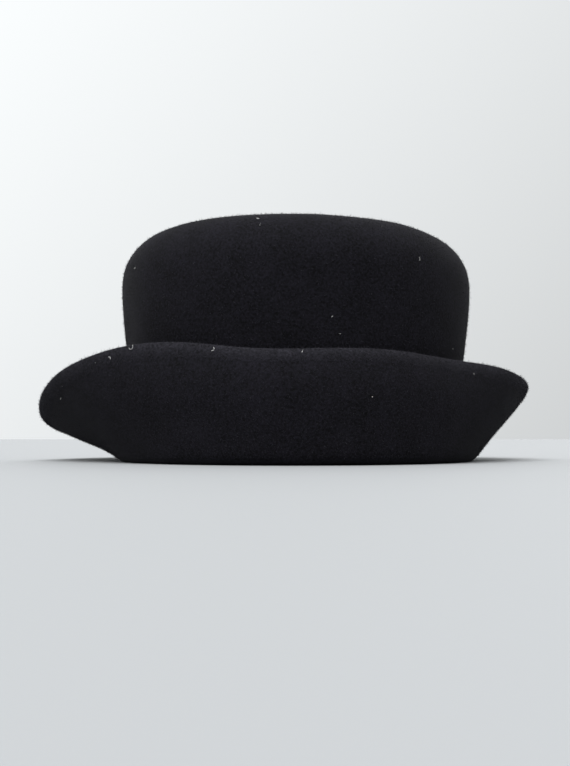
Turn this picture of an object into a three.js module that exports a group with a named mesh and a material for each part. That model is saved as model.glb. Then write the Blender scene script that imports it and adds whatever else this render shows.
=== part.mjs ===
// A black wool felt cocktail hat with a turned-up brim, standing the right way up.
// Millimetres, +Z up. The front faces -Y and the wearer's left is at +X.
// A turn round the hat is in degrees: 0 at the wearer's left, 90 at the back, 270 at the front.

import * as THREE from 'three';

// The opening for the head: the oval inside the crown's foot, as half width and half length.
const HEAD = { halfWidth: 84, halfLength: 97 };

// The felt, the fold where the crown turns out into the brim, and how much the fold is pressed
// flat underneath where the hat rests on it.
const FELT = 2.6;
const FOLD_RADIUS = 8;
const SEAT_FLATTENING = 0.35;

// The crown at its widest, measured outside, and its rounded top. The top stands a little forward.
const CROWN_HEIGHT = 126;
const CROWN_HALF_WIDTH = 95;
const CROWN_HALF_LENGTH = 109;
const CROWN_FORWARD = 7;
const SHOULDER_RADIUS = 24;
const TIP_SLOPE = 12.5;

// The brim all round: lift is the angle at which it leaves the fold, curl is how much further it
// has turned up at its edge, both in degrees, and width is the felt from the fold to the edge in
// mm. The curl begins at a share of the width.
const BRIM = [
  { turn: 0, lift: 52, curl: 26, width: 48 },
  { turn: 30, lift: 35, curl: 16, width: 54 },
  { turn: 60, lift: 43, curl: 10, width: 49 },
  { turn: 90, lift: 41, curl: 8, width: 48 },
  { turn: 120, lift: 28, curl: 6, width: 49 },
  { turn: 150, lift: 20, curl: 5, width: 55 },
  { turn: 180, lift: 20, curl: 8, width: 54 },
  { turn: 210, lift: 50, curl: 25, width: 52 },
  { turn: 240, lift: 73, curl: 48, width: 52 },
  { turn: 270, lift: 77, curl: 55, width: 47 },
  { turn: 300, lift: 80, curl: 50, width: 47 },
  { turn: 330, lift: 76, curl: 42, width: 44 },
];
const CURL_START = 0.3;

// Soft hollows that handling has left in the crown. turn and up are where each one is deepest,
// depth is in mm, and the reach is how far it spreads, in degrees and in mm.
const HOLLOWS = [
  { turn: 210, up: 82, depth: 3.8, reachTurn: 17, reachUp: 28 },
  { turn: 288, up: 76, depth: 2.2, reachTurn: 20, reachUp: 18 },
  { turn: 120, up: 84, depth: 2.0, reachTurn: 24, reachUp: 24 },
];

// The ribbon round the inside of the opening, and the folded tape sewn over its lower edge.
// The tape's lower edge slants, so that one corner hangs below the ribbon.
const SEWING_GAP = 0.3;
const RIBBON = { thickness: 0.8, bottom: 9, height: 26 };
const TAPE = { turn: 34, spread: 7, thickness: 0.9, lowCorner: 2.5, highCorner: 8, top: 21 };

// How finely the surfaces are divided.
const STEPS_ROUND = 72;
const TIP_STEPS = 3;
const SHOULDER_STEPS = 4;
const WALL_STEPS = 7;
const FOLD_STEPS = 3;
const BRIM_STEPS = 7;
const EDGE_STEPS = 3;
const RIBBON_STEPS = 3;
const TAPE_STEPS = 4;
const NUDGE = 0.001;

const radians = THREE.MathUtils.degToRad;
const degrees = THREE.MathUtils.radToDeg;
const blend = THREE.MathUtils.lerp;
const smooth = (share) => THREE.MathUtils.smoothstep(share, 0, 1);
const shares = (steps, first = 0) => Array.from({ length: steps + 1 - first }, (_, i) => (i + first) / steps);
const TURNS = Array.from({ length: STEPS_ROUND }, (_, i) => (360 * i) / STEPS_ROUND);

// A column of the brim's table at any turn, on a smooth closed curve through its rows.
function brimValue(column, turn) {
  const place = ((turn / 360) * BRIM.length + BRIM.length) % BRIM.length;
  const row = Math.floor(place);
  const u = place - row;
  const at = (step) => BRIM[(row + step + BRIM.length) % BRIM.length][column];
  const [a, b, c, d] = [at(-1), at(0), at(1), at(2)];
  const bend = 2 * a - 5 * b + 4 * c - d;
  const twist = 3 * b - a - 3 * c + d;
  return (2 * b + (c - a) * u + bend * u * u + twist * u * u * u) / 2;
}

// The outward direction of the head's oval at a turn.
function outward(turn) {
  const a = radians(turn);
  return new THREE.Vector3(Math.cos(a) / HEAD.halfWidth, Math.sin(a) / HEAD.halfLength, 0).normalize();
}

// A point at a distance outside the head's oval and at a height.
function besideHead(turn, outside, up) {
  const a = radians(turn);
  const onOval = new THREE.Vector3(HEAD.halfWidth * Math.cos(a), HEAD.halfLength * Math.sin(a), up);
  return onOval.addScaledVector(outward(turn), outside);
}

// How deep the soft hollows are at a place on the crown.
function hollowDepth(turn, up) {
  let depth = 0;
  for (const hollow of HOLLOWS) {
    const across = (turn - hollow.turn) / hollow.reachTurn;
    const along = (up - hollow.up) / hollow.reachUp;
    depth += hollow.depth * Math.exp(-across * across - along * along);
  }
  return depth;
}

// The middle of the felt is a sheet of rings, from the centre of the crown's top out to the edge
// of the brim. Each stretch of it is a function of a share from 0 to 1 along it and of the turn.
const WIDEST = { halfWidth: CROWN_HALF_WIDTH - FELT / 2, halfLength: CROWN_HALF_LENGTH - FELT / 2 };
const SHOULDER = SHOULDER_RADIUS - FELT / 2;
const TIP_TOP = CROWN_HEIGHT - FELT / 2;
const TIP_INSET = SHOULDER * (1 - Math.sin(radians(TIP_SLOPE)));
const TIP_RISE = (Math.tan(radians(TIP_SLOPE)) * (WIDEST.halfWidth - TIP_INSET)) / 2;
const WIDEST_UP = TIP_TOP - TIP_RISE - SHOULDER * Math.cos(radians(TIP_SLOPE));

function crownPoint(turn, halfWidth, halfLength, forward, up) {
  const a = radians(turn);
  const point = new THREE.Vector3(halfWidth * Math.cos(a), halfLength * Math.sin(a) - forward, up);
  return point.addScaledVector(outward(turn), -hollowDepth(turn, up));
}

function tip(share, turn) {
  const halfWidth = (WIDEST.halfWidth - TIP_INSET) * share;
  const halfLength = (WIDEST.halfLength - TIP_INSET) * share;
  return crownPoint(turn, halfWidth, halfLength, CROWN_FORWARD, TIP_TOP - TIP_RISE * share * share);
}

function shoulder(share, turn) {
  const a = radians(blend(TIP_SLOPE, 90, share));
  const inset = SHOULDER * (1 - Math.sin(a));
  const up = WIDEST_UP + SHOULDER * Math.cos(a);
  return crownPoint(turn, WIDEST.halfWidth - inset, WIDEST.halfLength - inset, CROWN_FORWARD, up);
}

function wall(share, turn) {
  const drawnIn = smooth(share);
  const halfWidth = blend(WIDEST.halfWidth, HEAD.halfWidth + FELT / 2, drawnIn);
  const halfLength = blend(WIDEST.halfLength, HEAD.halfLength + FELT / 2, drawnIn);
  const up = blend(WIDEST_UP, FOLD_RADIUS, share);
  return crownPoint(turn, halfWidth, halfLength, CROWN_FORWARD * (1 - drawnIn), up);
}

// The fold, as an arc from the wall (0 degrees) past its lowest line (90) up into the brim.
// The felt between its two seat lines is pressed flat.
const SEAT_ANGLE = degrees(Math.acos(1 - SEAT_FLATTENING / FOLD_RADIUS));

function foldPoint(angle, turn) {
  const radius = FOLD_RADIUS - FELT / 2;
  const outside = FOLD_RADIUS - radius * Math.cos(radians(angle));
  return besideHead(turn, outside, FOLD_RADIUS - radius * Math.sin(radians(angle)));
}

function foldInside(share, turn) {
  return foldPoint(share * (90 - SEAT_ANGLE), turn);
}

function foldOutside(share, turn) {
  return foldPoint(blend(90 + SEAT_ANGLE, 90 + brimValue('lift', turn), share), turn);
}

// The brim leaves the fold at its lift and curls up towards its edge, stride by stride.
function brim(share, turn) {
  const point = foldOutside(1, turn);
  const strides = share * BRIM_STEPS;
  for (let stride = 0; stride < strides; stride += 1) {
    const across = (stride + 0.5) / BRIM_STEPS;
    const curled = Math.max(0, (across - CURL_START) / (1 - CURL_START)) ** 2;
    const a = radians(brimValue('lift', turn) + brimValue('curl', turn) * curled);
    const length = (brimValue('width', turn) / BRIM_STEPS) * Math.min(1, strides - stride);
    point.addScaledVector(outward(turn), length * Math.cos(a));
    point.z += length * Math.sin(a);
  }
  return point;
}

// The directions along the sheet, away from the crown's top, and square to it, towards the
// outside of the hat.
function directions(stretch, share, turn) {
  const along = stretch(share + NUDGE, turn).sub(stretch(share - NUDGE, turn)).normalize();
  const round = stretch(share, turn + NUDGE).sub(stretch(share, turn - NUDGE));
  return { along, square: along.clone().cross(round).normalize() };
}

// A ring of points at a distance outside the middle of the felt.
function ringBeside({ stretch, share }, distance) {
  return TURNS.map((turn) => {
    const { square } = directions(stretch, share, turn);
    return stretch(share, turn).addScaledVector(square, distance);
  });
}

// A closed body through loops of points. Its ends close on a point each, or, without the two
// points, its last loop joins its first.
function skin(loops, ends) {
  const points = loops.flat();
  const size = loops[0].length;
  const triangles = [];
  const lastBand = ends ? loops.length - 1 : loops.length;
  for (let band = 0; band < lastBand; band += 1) {
    const here = band * size;
    const there = ((band + 1) % loops.length) * size;
    for (let i = 0; i < size; i += 1) {
      const next = (i + 1) % size;
      triangles.push(here + i, there + i, there + next, here + i, there + next, here + next);
    }
  }
  if (ends) {
    const first = points.length;
    const last = first + 1;
    const lastLoop = (loops.length - 1) * size;
    points.push(...ends);
    for (let i = 0; i < size; i += 1) {
      const next = (i + 1) % size;
      triangles.push(first, i, next, lastLoop + i, last, lastLoop + next);
    }
  }
  const geometry = new THREE.BufferGeometry().setFromPoints(points);
  geometry.setIndex(triangles);
  geometry.computeVertexNormals();
  return geometry;
}

// The felt body: crown and brim are blocked from one piece of felt.
function feltBody() {
  const sheet = [
    ...shares(TIP_STEPS, 1).map((share) => ({ stretch: tip, share })),
    ...shares(SHOULDER_STEPS, 1).map((share) => ({ stretch: shoulder, share })),
    ...shares(WALL_STEPS, 1).map((share) => ({ stretch: wall, share })),
    ...shares(FOLD_STEPS, 1).map((share) => ({ stretch: foldInside, share })),
    ...shares(FOLD_STEPS).map((share) => ({ stretch: foldOutside, share })),
    ...shares(BRIM_STEPS, 1).map((share) => ({ stretch: brim, share })),
  ];
  const outside = sheet.map((ring) => ringBeside(ring, FELT / 2));
  const inside = sheet.map((ring) => ringBeside(ring, -FELT / 2)).reverse();
  const roundedEdge = shares(EDGE_STEPS, 1).slice(0, -1).map((share) => TURNS.map((turn) => {
    const { along, square } = directions(brim, 1, turn);
    const edge = brim(1, turn).addScaledVector(square, (FELT / 2) * Math.cos(Math.PI * share));
    return edge.addScaledVector(along, (FELT / 2) * Math.sin(Math.PI * share));
  }));
  const poles = [FELT / 2, -FELT / 2].map((h) => new THREE.Vector3(0, -CROWN_FORWARD, TIP_TOP + h));
  return skin([...outside, ...roundedEdge, ...inside], poles);
}

// The ribbon follows the inside of the crown's wall, just above the fold.
function innerRibbon() {
  const near = -(FELT / 2 + SEWING_GAP);
  const far = near - RIBBON.thickness;
  const rings = shares(RIBBON_STEPS).map((share) => {
    const up = RIBBON.bottom + RIBBON.height * (1 - share);
    return { stretch: wall, share: (WIDEST_UP - up) / (WIDEST_UP - FOLD_RADIUS) };
  });
  const outer = rings.map((ring) => ringBeside(ring, near));
  const inner = rings.map((ring) => ringBeside(ring, far)).reverse();
  return skin([...outer, ...inner]);
}

// The folded tape hangs down over the ribbon's edge.
function foldedTape() {
  const near = -(2 * SEWING_GAP + RIBBON.thickness);
  const far = near - TAPE.thickness;
  const loops = shares(TAPE_STEPS).map((share) => {
    const turn = TAPE.turn + TAPE.spread * (2 * share - 1);
    const bottom = blend(TAPE.lowCorner, TAPE.highCorner, share);
    const corners = [[near, bottom], [near, TAPE.top], [far, TAPE.top], [far, bottom]];
    return corners.map(([outside, up]) => besideHead(turn, outside, up));
  });
  const middle = (loop) => loop.reduce((sum, p) => sum.add(p), new THREE.Vector3()).divideScalar(loop.length);
  return skin(loops, [middle(loops[0]), middle(loops[loops.length - 1])]);
}

function piece(name, geometry, colour, roughness) {
  const material = new THREE.MeshStandardMaterial({ color: colour, roughness, metalness: 0 });
  const mesh = new THREE.Mesh(geometry, material);
  mesh.name = name;
  return mesh;
}

const hat = new THREE.Group();
hat.add(piece('felt_body', feltBody(), '#17171a', 0.95));
hat.add(piece('inner_ribbon', innerRibbon(), '#121214', 0.8));
hat.add(piece('size_tape', foldedTape(), '#57565a', 0.85));

// The hat stands on z = 0, with the middle of its box over the origin.
const middle = new THREE.Box3().setFromObject(hat).getCenter(new THREE.Vector3());
hat.position.set(-middle.x, -middle.y, -SEAT_FLATTENING);

export default hat;
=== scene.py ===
# %% [markdown]
# A black wool felt cocktail hat. The crown and the brim of a felt hat are one piece of felt, steamed
# and pulled over a wooden block. This lesson loads the plain solid of the hat, gives the felt a
# smooth soft surface, covers it with a short nap of fibres, and dresses the ribbon and the tape
# inside the opening.

# %% Load the model of the hat
import math

import bmesh
import bpy
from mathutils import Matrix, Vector, noise
from mathutils.bvhtree import BVHTree


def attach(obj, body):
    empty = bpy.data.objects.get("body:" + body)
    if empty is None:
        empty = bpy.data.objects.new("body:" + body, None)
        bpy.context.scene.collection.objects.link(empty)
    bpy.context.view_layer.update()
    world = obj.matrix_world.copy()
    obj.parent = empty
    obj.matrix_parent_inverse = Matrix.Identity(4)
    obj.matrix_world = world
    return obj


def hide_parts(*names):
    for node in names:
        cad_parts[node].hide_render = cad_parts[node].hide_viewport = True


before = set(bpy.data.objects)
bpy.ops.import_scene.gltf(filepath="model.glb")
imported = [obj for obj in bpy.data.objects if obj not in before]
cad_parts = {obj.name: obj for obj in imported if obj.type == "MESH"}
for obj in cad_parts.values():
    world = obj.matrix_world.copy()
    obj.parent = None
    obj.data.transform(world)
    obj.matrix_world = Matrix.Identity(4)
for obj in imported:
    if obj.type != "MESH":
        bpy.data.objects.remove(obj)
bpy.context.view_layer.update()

# %% [markdown]
# The camera comes first, because every later choice is judged through it. It stands in front and a
# little to the wearer's left. It is very low, so that the turned-up front shows as a tall arching
# band with the crown above it, and it looks up a few degrees.

# %% Place the camera
MM = 0.001
FRAME_HEIGHT = 766
FOCAL_PIXELS = 1000
CAMERA_AZIMUTH = math.radians(8)
CAMERA_DISTANCE = 571 * MM
CAMERA_HEIGHT = 12 * MM
CAMERA_LOOKS_UP = math.radians(3.2)

camera = bpy.data.objects.new("camera", bpy.data.cameras.new("camera"))
bpy.context.collection.objects.link(camera)
bpy.context.scene.camera = camera
camera.data.sensor_width = 36
camera.data.clip_start = 5 * MM
camera.data.lens = FOCAL_PIXELS * camera.data.sensor_width / FRAME_HEIGHT
away = Vector((math.sin(CAMERA_AZIMUTH), -math.cos(CAMERA_AZIMUTH), 0))
camera.location = away * CAMERA_DISTANCE + Vector((0, 0, CAMERA_HEIGHT))
camera.rotation_euler = (math.radians(90) + CAMERA_LOOKS_UP, 0, CAMERA_AZIMUTH)
print("camera at", tuple(round(x, 3) for x in camera.location), "lens", round(camera.data.lens, 1))

# %% [markdown]
# Three small helpers serve every material. Colours are chosen as sRGB hex, the way a paint program
# shows them, but a shader works in linear light, so one function turns one into the other. Another
# adds a node, sets it and links it, which keeps a material readable as a list of steps. The last
# makes an empty material.

# %% Helpers for colours and nodes
def linear(hex_colour):
    """The linear RGBA of an sRGB hex colour such as "1c1c1e"."""
    channels = [int(hex_colour[i:i + 2], 16) / 255 for i in (0, 2, 4)]
    return [c / 12.92 if c <= 0.04045 else ((c + 0.055) / 1.055) ** 2.4 for c in channels] + [1.0]


def add_node(tree, kind, inputs=None, **settings):
    """Adds a node. An input is a value, or a socket of another node to link it to."""
    node = tree.nodes.new(kind)
    for name, value in settings.items():
        setattr(node, name, value)
    for name, value in (inputs or {}).items():
        if isinstance(value, bpy.types.NodeSocket):
            tree.links.new(value, node.inputs[name])
        else:
            node.inputs[name].default_value = value
    return node


def new_material(name):
    """An empty node material and its tree."""
    material = bpy.data.materials.new(name)
    material.use_nodes = True
    material.node_tree.nodes.clear()
    return material, material.node_tree


print("mid grey in linear light:", [round(c, 3) for c in linear("808080")[:3]])

# %% [markdown]
# The floor is a plain pale sheet, wide enough to reach the horizon. A plane of one face is enough,
# because nothing on it bends. The walls of the room are the world's own colour, so that the hat can
# be seen from every side. They are a little brighter above and towards the wearer's right, as in a
# room lit from there, and stay between two limits, so that no side of the room is dark.

# %% Floor and room
FLOOR_SIZE = 60.0
FLOOR_COLOUR = "8a8c8e"
WALL_COLOUR = "fbfeff"
WALL_STRENGTH = 0.71
WALL_DIMMEST, WALL_BRIGHTEST = 0.66, 1.0
BRIGHTER_TOWARDS = (-0.38, 0.0, 0.37)

plane = bmesh.new()
bmesh.ops.create_grid(plane, x_segments=1, y_segments=1, size=FLOOR_SIZE / 2)
floor_mesh = bpy.data.meshes.new("floor")
plane.to_mesh(floor_mesh)
plane.free()
floor = bpy.data.objects.new("floor", floor_mesh)
bpy.context.collection.objects.link(floor)

painted_board, tree = new_material("painted board")
surface = add_node(tree, "ShaderNodeBsdfPrincipled", {"Base Color": linear(FLOOR_COLOUR), "Roughness": 0.7})
add_node(tree, "ShaderNodeOutputMaterial", {"Surface": surface.outputs["BSDF"]})
floor_mesh.materials.append(painted_board)

world = bpy.data.worlds.new("room")
bpy.context.scene.world = world
world.use_nodes = True
tree = world.node_tree
tree.nodes.clear()
direction = add_node(tree, "ShaderNodeTexCoord").outputs["Generated"]
towards = add_node(
    tree, "ShaderNodeVectorMath", {0: direction, 1: BRIGHTER_TOWARDS}, operation="DOT_PRODUCT"
).outputs["Value"]
strength = add_node(
    tree, "ShaderNodeMapRange",
    {
        "Value": towards,
        "From Min": WALL_DIMMEST - WALL_STRENGTH, "From Max": WALL_BRIGHTEST - WALL_STRENGTH,
        "To Min": WALL_DIMMEST, "To Max": WALL_BRIGHTEST,
    },
).outputs["Result"]
backdrop = add_node(tree, "ShaderNodeBackground", {"Color": linear(WALL_COLOUR), "Strength": strength})
add_node(tree, "ShaderNodeOutputWorld", {"Surface": backdrop.outputs["Background"]})
bpy.context.scene.view_settings.view_transform = "Standard"
print("floor", FLOOR_SIZE, "m across, walls", WALL_COLOUR)

# %% [markdown]
# Black felt swallows most light, so its shape shows only where a broad soft light grazes it. A sun
# lamp with a very wide angle acts like a ceiling of pale panels: it is soft, and it lights the floor
# evenly as far as the horizon. It stands high and a little in front, so that it lightens the top of
# the crown and the curled front of the brim. A weaker one behind draws the far edges.

# %% Soft studio lights
LIGHTS = [
    {"name": "ceiling", "towards": (-0.1, -0.55, 1.0), "softness": 50, "strength": 4.9},
    {"name": "back", "towards": (0.3, 0.8, 0.9), "softness": 60, "strength": 0.6},
]
for row in LIGHTS:
    lamp = bpy.data.objects.new(row["name"], bpy.data.lights.new(row["name"], "SUN"))
    bpy.context.collection.objects.link(lamp)
    lamp.data.energy = row["strength"]
    lamp.data.angle = math.radians(row["softness"])
    lamp.rotation_euler = Vector(row["towards"]).to_track_quat("Z", "Y").to_euler()
    print(row["name"], "light,", row["strength"], "W to the square metre")

# %% [markdown]
# The felt is wool, matted with steam and pressure and then brushed, so it has no weave. Up close it
# is a field of tiny crossing fibres. The eye reads four things: a very dark colour that is slightly
# cloudy, a surface broken up by fibre clumps a millimetre or so across, a faint sheen where the
# surface turns away, and a paler brim edge, where the rounded edge and its fibres catch the light.
# Noise at two real sizes gives the first two and the shader's sheen the third. The fourth is a
# painted highlight: it follows the shape of the piece, so it reads an attribute that the felt body
# will carry on its brim edge, and makes the colour paler there.

# %% Felt material
FELT_DARK, FELT_PALE = "030304", "15141a"
# The brim edge's paler colours are a painted highlight, where the rounded edge catches the light.
EDGE_HIGHLIGHT_DARK, EDGE_HIGHLIGHT_PALE = "0d0d0f", "28272d"
SHEEN_COLOUR = "8f8e94"
CLUMP_SIZE = 1.1 * MM
CLOUD_SIZE = 14 * MM
CLOUD_SHARE = 0.2
NOISE_LOW, NOISE_HIGH = 0.36, 0.64


def wool_felt():
    """Matted wool: clumps, clouds, a faint sheen and a painted highlight along the brim's edge."""
    material, tree = new_material("black wool felt")
    place = add_node(tree, "ShaderNodeTexCoord").outputs["Object"]
    clumps = add_node(
        tree, "ShaderNodeTexNoise",
        {"Vector": place, "Scale": 1 / CLUMP_SIZE, "Detail": 4.0, "Roughness": 0.62},
    ).outputs["Fac"]
    clouds = add_node(
        tree, "ShaderNodeTexNoise",
        {"Vector": place, "Scale": 1 / CLOUD_SIZE, "Detail": 3.0, "Roughness": 0.5},
    ).outputs["Fac"]
    shade = add_node(
        tree, "ShaderNodeMix", {"Factor": CLOUD_SHARE, "A": clumps, "B": clouds}, data_type="FLOAT"
    ).outputs["Result"]
    spread = add_node(
        tree, "ShaderNodeMapRange",
        {"Value": shade, "From Min": NOISE_LOW, "From Max": NOISE_HIGH, "To Min": 0.0, "To Max": 1.0},
    ).outputs["Result"]
    shades = []
    for dark, pale in ((FELT_DARK, FELT_PALE), (EDGE_HIGHLIGHT_DARK, EDGE_HIGHLIGHT_PALE)):
        ramp = add_node(tree, "ShaderNodeValToRGB", {"Fac": spread})
        ramp.color_ramp.elements[0].color = linear(dark)
        ramp.color_ramp.elements[1].color = linear(pale)
        shades.append(ramp.outputs["Color"])
    # The marked brim edge takes the paler colours: a painted highlight.
    edge_highlight = add_node(tree, "ShaderNodeAttribute", attribute_name="edge_highlight").outputs["Fac"]
    colour = add_node(tree, "ShaderNodeMixRGB", {"Fac": edge_highlight, "Color1": shades[0], "Color2": shades[1]})
    bump = add_node(
        tree, "ShaderNodeBump", {"Height": clumps, "Strength": 0.7, "Distance": 0.35 * MM}
    )
    surface = add_node(
        tree, "ShaderNodeBsdfPrincipled",
        {
            "Base Color": colour.outputs["Color"], "Roughness": 0.95, "Specular IOR Level": 0.1,
            "Sheen Weight": 0.015, "Sheen Roughness": 0.4, "Sheen Tint": linear(SHEEN_COLOUR),
            "Normal": bump.outputs["Normal"],
        },
    )
    add_node(tree, "ShaderNodeOutputMaterial", {"Surface": surface.outputs["BSDF"]})
    return material


FELT = wool_felt()
print("felt clumps", CLUMP_SIZE, "m")

# %% [markdown]
# The plain solid already has the hat's form, but in flat facets. Its loose triangles are copied,
# welded and paired into quads, and a Subdivision Surface modifier then rounds them. Real felt is
# never quite even, so before that each point moves a fraction of a millimetre along its normal by a
# smooth noise about as wide as a thumb. The strip that the hat rests on stays flat. The brim's edge
# is the only sharp turn of the skin, so the points of the faces beside it are marked for the painted
# highlight that makes the edge paler.

# %% Felt body of the hat
WELD = 0.002 * MM
PAIR_BEND, PAIR_SKEW = math.radians(50), math.radians(60)
UNEVEN_DEPTH = 0.5 * MM
UNEVEN_WIDTH = 34 * MM
SEAT_LEVEL = 0.3 * MM
SMOOTH_LEVELS = 2
EDGE_BEND = math.radians(45)


def welded_copy(node):
    """A bmesh with a solid's shape, its triangles welded and paired into quads."""
    shape = bmesh.new()
    shape.from_mesh(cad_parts[node].data)
    bmesh.ops.remove_doubles(shape, verts=shape.verts, dist=WELD)
    bmesh.ops.join_triangles(
        shape, faces=shape.faces, angle_face_threshold=PAIR_BEND, angle_shape_threshold=PAIR_SKEW
    )
    return shape


def new_object(name, shape, material, levels):
    """A smooth object made from a bmesh."""
    for face in shape.faces:
        face.smooth = True
    mesh = bpy.data.meshes.new(name)
    shape.to_mesh(mesh)
    mesh.materials.append(material)
    piece = bpy.data.objects.new(name, mesh)
    bpy.context.collection.objects.link(piece)
    if levels:
        smooth = piece.modifiers.new("smooth", "SUBSURF")
        smooth.levels = smooth.render_levels = levels
    return piece


def ride_and_finish(piece, node=None):
    """The piece moves with the hat and may stand for a solid, which is then hidden."""
    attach(piece, "root")
    if node:
        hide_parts(node)


felt = welded_copy("felt_body")
felt.normal_update()
for vert in felt.verts:
    if vert.co.z > SEAT_LEVEL:
        vert.co += vert.normal * UNEVEN_DEPTH * noise.noise(vert.co / UNEVEN_WIDTH)
        vert.co.z = max(vert.co.z, 0.0)
felt.normal_update()
# The brim's edge is marked here for its painted highlight, a paler colour in the felt material.
edge_highlight = felt.verts.layers.float.new("edge_highlight")
sharp_edges = [edge for edge in felt.edges if edge.calc_face_angle(0.0) > EDGE_BEND]
for face in {face for edge in sharp_edges for face in edge.link_faces}:
    for vert in face.verts:
        vert[edge_highlight] = 1.0
felt_hat = new_object("felt_hat", felt, FELT, SMOOTH_LEVELS)
ride_and_finish(felt_hat, "felt_body")
quads = sum(len(face.verts) == 4 for face in felt.faces)
print("felt:", len(felt.verts), "points,", quads, "quads of", len(felt.faces), "faces")

# %% [markdown]
# The nap is the short fuzz of fibre tips that brushing lifts out of the felt. It breaks up the
# outline and gives the surface its fine grain. The felt is one closed skin, so first it is parted into
# the faces that people see: the skin is walked from the middle of the crown's top, and the walk stops
# at the sharp turn of the brim's edge. What it reaches is the crown and the upper face of the brim.
# The rest is the inside of the crown, which needs no nap, and the brim's outer face.

# %% Part the felt into crown, upper brim and outer brim
CROWN_MIDDLE = Vector((8.5, -13.8)) * MM
CROWN_TOP_STARTS = 75 * MM
NAP_STARTS = 3.2 * MM
SQUARE_CM = 0.0001


def joined_faces(start):
    """The faces that are joined to one face without a sharp turn between them."""
    found, waiting = {start}, [start]
    while waiting:
        for edge in waiting.pop().edges:
            if edge.calc_face_angle(math.pi) < EDGE_BEND:
                fresh = [face for face in edge.link_faces if face not in found]
                found.update(fresh)
                waiting.extend(fresh)
    return found


def looks_out(face):
    """Whether a face looks away from the middle of the crown, seen from above."""
    return (face.calc_center_median().xy - CROWN_MIDDLE).dot(face.normal.xy) > 0


top_face = max(felt.faces, key=lambda face: face.calc_center_median().z)
upper_side = joined_faces(top_face)
lower_side = set(felt.faces) - upper_side
visible = {
    "crown": {f for f in upper_side if looks_out(f) or f.calc_center_median().z > CROWN_TOP_STARTS},
    "outer_brim": {f for f in lower_side if looks_out(f) and f.calc_center_median().z > NAP_STARTS},
}
visible["upper_brim"] = upper_side - visible["crown"]
visible["brim_edge"] = {f for f in felt.faces if any(vert[edge_highlight] for vert in f.verts)}
for name, faces in visible.items():
    area = sum(face.calc_area() for face in faces)
    print(name, len(faces), "faces,", round(area / SQUARE_CM), "square cm")

# %% [markdown]
# Each fibre is a thin spike with three sides, which is enough for something narrower than a pixel.
# Real wool fibres are about 0.03 mm thick and far more crowded. These are drawn thicker and fewer, so
# that they show. Geometry Nodes plants them: it scatters points on the faces, leans a spike over at
# random on each, and realizes the copies into one mesh, which then needs no modifier. Fewer, thicker
# and longer spikes stand for the tufts that break the outline. Black felt gathers dust, so the same
# recipe scatters a few short pale crumbs of lint. In the tables, long and thick are in mm, and a
# fibre's length is from FIBRE_SHORT of its row's up to all of it.

# %% Plant the nap
WOOL_COLOUR, LINT_COLOUR = "1e1d23", "b4b4b2"
FIBRE_SIDES = 3
FIBRE_SHORT = 0.55
FIBRE_LEAN_LEAST, FIBRE_LEAN_MOST = math.radians(25), math.radians(78)
NAP = [
    {"name": "crown_nap", "on": "crown", "fibres": 45000, "long": 1.3, "thick": 0.09},
    {"name": "outer_nap", "on": "outer_brim", "fibres": 45000, "long": 1.3, "thick": 0.09},
    {"name": "upper_nap", "on": "upper_brim", "fibres": 30000, "long": 1.3, "thick": 0.09},
    {"name": "edge_nap", "on": "brim_edge", "fibres": 30000, "long": 1.3, "thick": 0.09},
    {"name": "crown_tufts", "on": "crown", "fibres": 5000, "long": 1.9, "thick": 0.2},
    {"name": "outer_tufts", "on": "outer_brim", "fibres": 1500, "long": 1.7, "thick": 0.2},
    {"name": "edge_tufts", "on": "brim_edge", "fibres": 4000, "long": 2.3, "thick": 0.22},
]
LINT = [
    {"name": "crown_lint", "on": "crown", "fibres": 18, "long": 1.9, "thick": 0.35},
    {"name": "brim_lint", "on": "outer_brim", "fibres": 10, "long": 1.6, "thick": 0.35},
    {"name": "edge_lint", "on": "brim_edge", "fibres": 12, "long": 1.8, "thick": 0.35},
]


def fibre_material(name, colour):
    """A dull plain fibre of one colour."""
    material, tree = new_material(name)
    surface = add_node(
        tree, "ShaderNodeBsdfPrincipled",
        {"Base Color": linear(colour), "Roughness": 0.8, "Specular IOR Level": 0.2},
    )
    add_node(tree, "ShaderNodeOutputMaterial", {"Surface": surface.outputs["BSDF"]})
    return material


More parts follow.
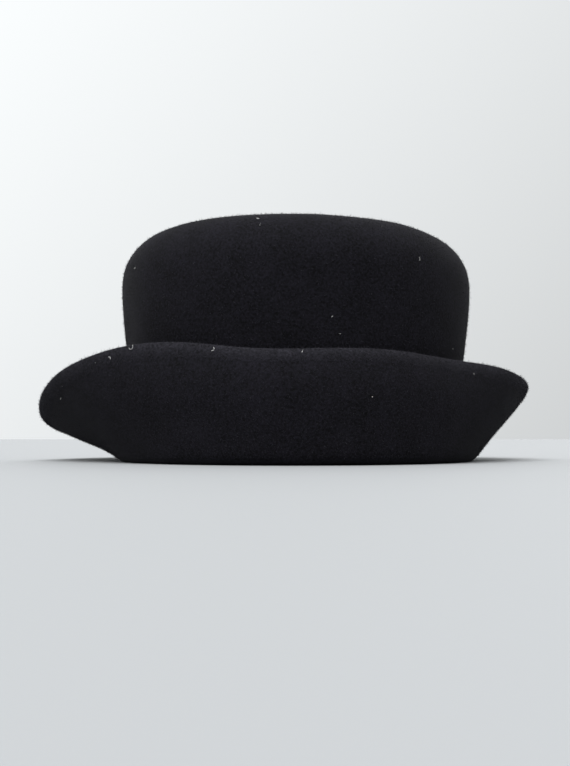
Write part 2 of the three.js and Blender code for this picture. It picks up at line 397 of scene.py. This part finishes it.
def nap_recipe(density, seed, row, material):
    """A node group that turns a skin into fibres standing on it, so many to the square metre."""
    tree = bpy.data.node_groups.new("nap", "GeometryNodeTree")
    for way in ("INPUT", "OUTPUT"):
        tree.interface.new_socket("Geometry", in_out=way, socket_type="NodeSocketGeometry")
    skin = add_node(tree, "NodeGroupInput").outputs["Geometry"]
    roots = add_node(
        tree, "GeometryNodeDistributePointsOnFaces", {"Mesh": skin, "Density": density, "Seed": seed}
    )
    spike = add_node(
        tree, "GeometryNodeMeshCone",
        {
            "Vertices": FIBRE_SIDES, "Radius Top": 0.0, "Radius Bottom": row["thick"] * MM / 2,
            "Depth": row["long"] * MM,
        },
    ).outputs["Mesh"]
    lean = add_node(
        tree, "FunctionNodeRandomValue",
        {"Min": (FIBRE_LEAN_LEAST, 0, 0), "Max": (FIBRE_LEAN_MOST, 0, math.tau), "Seed": seed},
        data_type="FLOAT_VECTOR",
    ).outputs["Value"]
    leaning = add_node(tree, "FunctionNodeEulerToRotation", {"Euler": lean}).outputs["Rotation"]
    turned = add_node(
        tree, "FunctionNodeRotateRotation",
        {"Rotation": roots.outputs["Rotation"], "Rotate By": leaning}, rotation_space="LOCAL",
    ).outputs["Rotation"]
    length = add_node(
        tree, "FunctionNodeRandomValue",
        {"Min": (1, 1, FIBRE_SHORT), "Max": (1, 1, 1), "Seed": seed + 1}, data_type="FLOAT_VECTOR",
    ).outputs["Value"]
    planted = add_node(
        tree, "GeometryNodeInstanceOnPoints",
        {"Points": roots.outputs["Points"], "Instance": spike, "Rotation": turned, "Scale": length},
    ).outputs["Instances"]
    real = add_node(tree, "GeometryNodeRealizeInstances", {"Geometry": planted}).outputs["Geometry"]
    dyed = add_node(tree, "GeometryNodeSetMaterial", {"Geometry": real, "Material": material})
    add_node(tree, "NodeGroupOutput", {"Geometry": dyed.outputs["Geometry"]})
    return tree


def plant(row, seed, material):
    """The fibres on one part of the felt, as a plain mesh."""
    skin = felt.copy()
    wanted = {face.index for face in visible[row["on"]]}
    spare = [face for face in skin.faces if face.index not in wanted]
    bmesh.ops.delete(skin, geom=spare, context="FACES")
    area = sum(face.calc_area() for face in skin.faces)
    nap = new_object(row["name"], skin, material, SMOOTH_LEVELS)
    skin.free()
    nap.modifiers.new("nap", "NODES").node_group = nap_recipe(row["fibres"] / area, seed, row, material)
    finished = nap.evaluated_get(bpy.context.evaluated_depsgraph_get())
    nap.data = bpy.data.meshes.new_from_object(finished)
    nap.modifiers.clear()
    ride_and_finish(nap)
    return nap


felt.faces.index_update()
WOOL_FIBRE = fibre_material("black wool fibre", WOOL_COLOUR)
LINT_FIBRE = fibre_material("pale cotton lint", LINT_COLOUR)
for seed, row in enumerate(NAP + LINT):
    nap = plant(row, seed, WOOL_FIBRE if row in NAP else LINT_FIBRE)
    nap.data.calc_loop_triangles()
    lowest = min(corner[2] for corner in nap.bound_box)
    print(nap.name, len(nap.data.loop_triangles), "triangles, lowest point", round(lowest, 4))

# %% [markdown]
# Six longer curls of lint cling to the front of the hat. Each row says where one lies, as a turn
# round the hat in degrees and a height in mm, and what arc it makes: its radius in mm, where the arc
# starts and how far it sweeps, in degrees. A ray cast towards the middle of the crown finds the felt
# there. The curl is a thin tube with three sides, lying on the nap.

# %% Curls of lint
LINT_THICK = 0.22 * MM
LINT_ABOVE_FELT = 0.8 * MM
RAY_STARTS = 300 * MM
CURL_STEPS = 8
TUBE_SIDES = 3
CURLS = [
    {"turn": 236, "up": 55, "radius": 1.2, "starts": 20, "sweep": 210},
    {"turn": 230, "up": 50, "radius": 0.9, "starts": 160, "sweep": 150},
    {"turn": 258, "up": 52, "radius": 1.0, "starts": 80, "sweep": 170},
    {"turn": 228, "up": 97, "radius": 1.4, "starts": 60, "sweep": 80},
    {"turn": 268, "up": 112, "radius": 0.8, "starts": 10, "sweep": 120},
    {"turn": 309, "up": 96, "radius": 1.4, "starts": 150, "sweep": 70},
]


def add_curl(shape, skin, row):
    """Adds one curl of lint to a bmesh, lying where a ray towards the crown's middle meets the skin."""
    turn = math.radians(row["turn"])
    outwards = Vector((math.cos(turn), math.sin(turn), 0))
    start = CROWN_MIDDLE.to_3d() + outwards * RAY_STARTS + Vector((0, 0, row["up"] * MM))
    place, normal, _, _ = skin.ray_cast(start, -outwards)
    side = normal.cross(Vector((0, 0, 1))).normalized()
    middle = place + normal * LINT_ABOVE_FELT
    corners = [math.tau * corner / TUBE_SIDES for corner in range(TUBE_SIDES)]
    rings = []
    for step in range(CURL_STEPS + 1):
        angle = math.radians(row["starts"] + row["sweep"] * step / CURL_STEPS)
        spoke = side * math.cos(angle) + normal.cross(side) * math.sin(angle)
        point = middle + spoke * row["radius"] * MM
        rings.append([
            shape.verts.new(point + (spoke * math.cos(a) + normal * math.sin(a)) * LINT_THICK / 2)
            for a in corners
        ])
    for ring, following in zip(rings, rings[1:]):
        for corner in range(TUBE_SIDES):
            shape.faces.new((ring[corner - 1], ring[corner], following[corner], following[corner - 1]))
    shape.faces.new(rings[0])
    shape.faces.new(rings[-1])


curls = bmesh.new()
felt_skin = BVHTree.FromBMesh(felt)
for row in CURLS:
    add_curl(curls, felt_skin, row)
bmesh.ops.recalc_face_normals(curls, faces=curls.faces)
ride_and_finish(new_object("lint_curls", curls, LINT_FIBRE, 0))
print("curls of lint:", len(CURLS), "with", len(curls.faces), "faces")
felt.free()

# %% [markdown]
# The ribbon inside the opening is ribbed across its length, as hat ribbon is, so that it can bend
# round the opening without puckering. Its ribs run up and down, so the pattern is an angle round the
# middle of the opening, cut into as many waves as there are ribs.

# %% Ribbon
RIBBON_COLOUR = "131315"
RIB_WIDTH = 1.1 * MM
OPENING_HALF_WIDTH, OPENING_HALF_LENGTH = 84 * MM, 97 * MM
RIBS = round(math.pi * (OPENING_HALF_WIDTH + OPENING_HALF_LENGTH) / RIB_WIDTH)
TRIM_LEVELS = 1


def ribbed_ribbon():
    """Ribbon whose ribs run up and down all round the opening."""
    material, tree = new_material("ribbed rayon ribbon")
    place = add_node(tree, "ShaderNodeTexCoord").outputs["Object"]
    centred = add_node(
        tree, "ShaderNodeMapping",
        {
            "Vector": place,
            "Location": (-CROWN_MIDDLE.x / OPENING_HALF_WIDTH, -CROWN_MIDDLE.y / OPENING_HALF_LENGTH, 0),
            "Scale": (1 / OPENING_HALF_WIDTH, 1 / OPENING_HALF_LENGTH, 1),
        },
    ).outputs["Vector"]
    turn = add_node(tree, "ShaderNodeTexGradient", {"Vector": centred}, gradient_type="RADIAL")
    phase = add_node(
        tree, "ShaderNodeMath", {0: turn.outputs["Fac"], 1: math.tau * RIBS}, operation="MULTIPLY"
    )
    wave = add_node(tree, "ShaderNodeMath", {0: phase.outputs["Value"]}, operation="SINE").outputs["Value"]
    bump = add_node(tree, "ShaderNodeBump", {"Height": wave, "Strength": 0.6, "Distance": 0.15 * MM})
    surface = add_node(
        tree, "ShaderNodeBsdfPrincipled",
        {"Base Color": linear(RIBBON_COLOUR), "Roughness": 0.5, "Normal": bump.outputs["Normal"]},
    )
    add_node(tree, "ShaderNodeOutputMaterial", {"Surface": surface.outputs["BSDF"]})
    return material


ribbon = new_object("ribbon", welded_copy("inner_ribbon"), ribbed_ribbon(), TRIM_LEVELS)
ride_and_finish(ribbon, "inner_ribbon")
print("ribs:", RIBS)

# %% [markdown]
# A short folded tape hangs over the ribbon's lower edge. It is plain woven cotton, grey, and turns
# paler along the bottom. The weave is two waves that cross, one thread wide each. A wave texture
# at scale 1 repeats every WAVE_PERIOD metres, which gives its scale. The paler band follows the
# slanting lower edge. So the points there carry a 1 and those along the top a 0, the points cut in
# between carry a blend, and the material turns pale as it nears 1.

# %% Tape
# The second colour is only a paler grey along the tape's lower edge.
TAPE_COLOUR, PALE_EDGE_COLOUR = "4a494d", "8a898d"
THREAD = 0.55 * MM
WAVE_PERIOD = math.tau / 20
TAPE_FACES = math.radians(30)
TAPE_MIDDLE_HEIGHT = 12 * MM
TAPE_CUTS = 3
PALE_EDGE_STARTS = 0.88


def woven_tape():
    """Plain weave that turns paler along the lower edge."""
    material, tree = new_material("woven cotton tape")
    place = add_node(tree, "ShaderNodeTexCoord").outputs["Object"]
    along = add_node(tree, "ShaderNodeMapping", {"Vector": place, "Rotation": (0, 0, -TAPE_FACES)})
    threads = [
        add_node(
            tree, "ShaderNodeTexWave",
            {"Vector": along.outputs["Vector"], "Scale": WAVE_PERIOD / THREAD}, bands_direction=direction,
        ).outputs["Fac"]
        for direction in ("Y", "Z")
    ]
    weave = add_node(tree, "ShaderNodeMath", {0: threads[0], 1: threads[1]}, operation="MULTIPLY")
    down = add_node(tree, "ShaderNodeAttribute", attribute_name="down").outputs["Fac"]
    shade = add_node(tree, "ShaderNodeValToRGB", {"Fac": down})
    shade.color_ramp.interpolation = "EASE"
    shade.color_ramp.elements[0].position = PALE_EDGE_STARTS
    shade.color_ramp.elements[0].color = linear(TAPE_COLOUR)
    shade.color_ramp.elements[1].color = linear(PALE_EDGE_COLOUR)
    bump = add_node(
        tree, "ShaderNodeBump", {"Height": weave.outputs["Value"], "Strength": 0.8, "Distance": 0.15 * MM}
    )
    surface = add_node(
        tree, "ShaderNodeBsdfPrincipled",
        {"Base Color": shade.outputs["Color"], "Roughness": 0.9, "Normal": bump.outputs["Normal"]},
    )
    add_node(tree, "ShaderNodeOutputMaterial", {"Surface": surface.outputs["BSDF"]})
    return material


tape_shape = welded_copy("size_tape")
down = tape_shape.verts.layers.float.new("down")
for vert in tape_shape.verts:
    vert[down] = 1.0 if vert.co.z < TAPE_MIDDLE_HEIGHT else 0.0
bmesh.ops.subdivide_edges(tape_shape, edges=tape_shape.edges, cuts=TAPE_CUTS, use_grid_fill=True)
tape = new_object("tape", tape_shape, woven_tape(), TRIM_LEVELS)
ride_and_finish(tape, "size_tape")
print("tape:", len(tape.data.polygons), "faces, thread", THREAD, "m")
